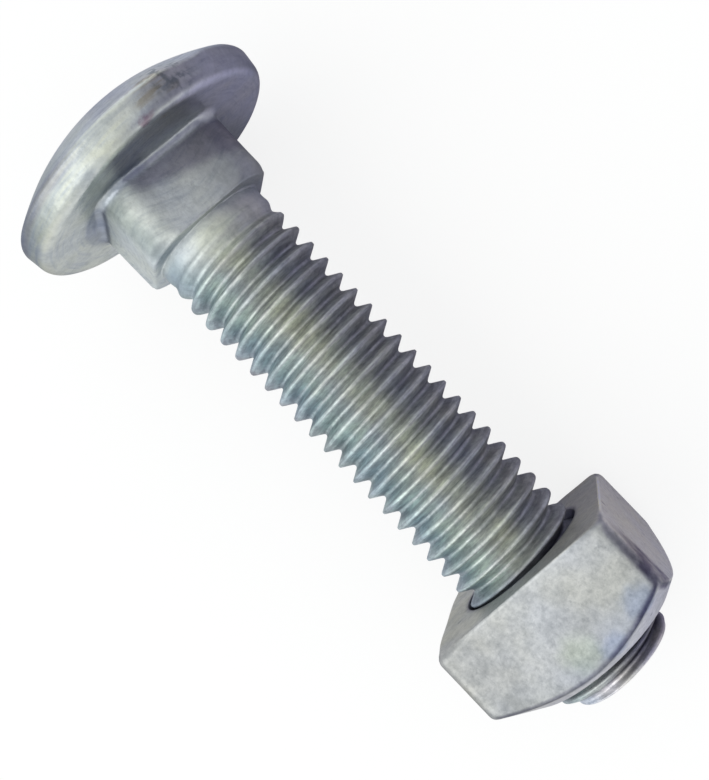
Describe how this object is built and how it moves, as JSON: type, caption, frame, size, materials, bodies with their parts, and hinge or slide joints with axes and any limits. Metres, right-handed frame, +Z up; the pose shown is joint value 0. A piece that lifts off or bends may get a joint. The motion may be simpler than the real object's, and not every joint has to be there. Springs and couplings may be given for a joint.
{
  "type": "carriage bolt with square nut",
  "caption": "Round-headed square-neck carriage bolt, threaded nearly to the neck, with a square nut screwed on near its free end.",
  "frame": {"origin": "on the ground, half way between the top of the dome and the free end, under the bolt's axis", "axes": "+X runs from the head to the free end, +Z is up; the bolt lies at rest on the rim of its head and one flat of its nut, so its own axis dips about 4 degrees towards +X"},
  "size_m": [0.0692, 0.0274, 0.0274],
  "materials": {
    "bolt_zinc": "zinc-coated, dull sheen, cloudy",
    "nut_zinc": "zinc-coated, mottled, duller than the bolt"
  },
  "bodies": {
    "bolt": {"bolt": "bolt_zinc"},
    "nut": {"nut": "nut_zinc"}
  },
  "joints": [
    {"name": "nut_travel", "type": "slide", "parent": "bolt", "child": "nut", "axis": [0.9976, 0, -0.0693], "range_m": [-0.03908, 0.01563]}
  ]
}
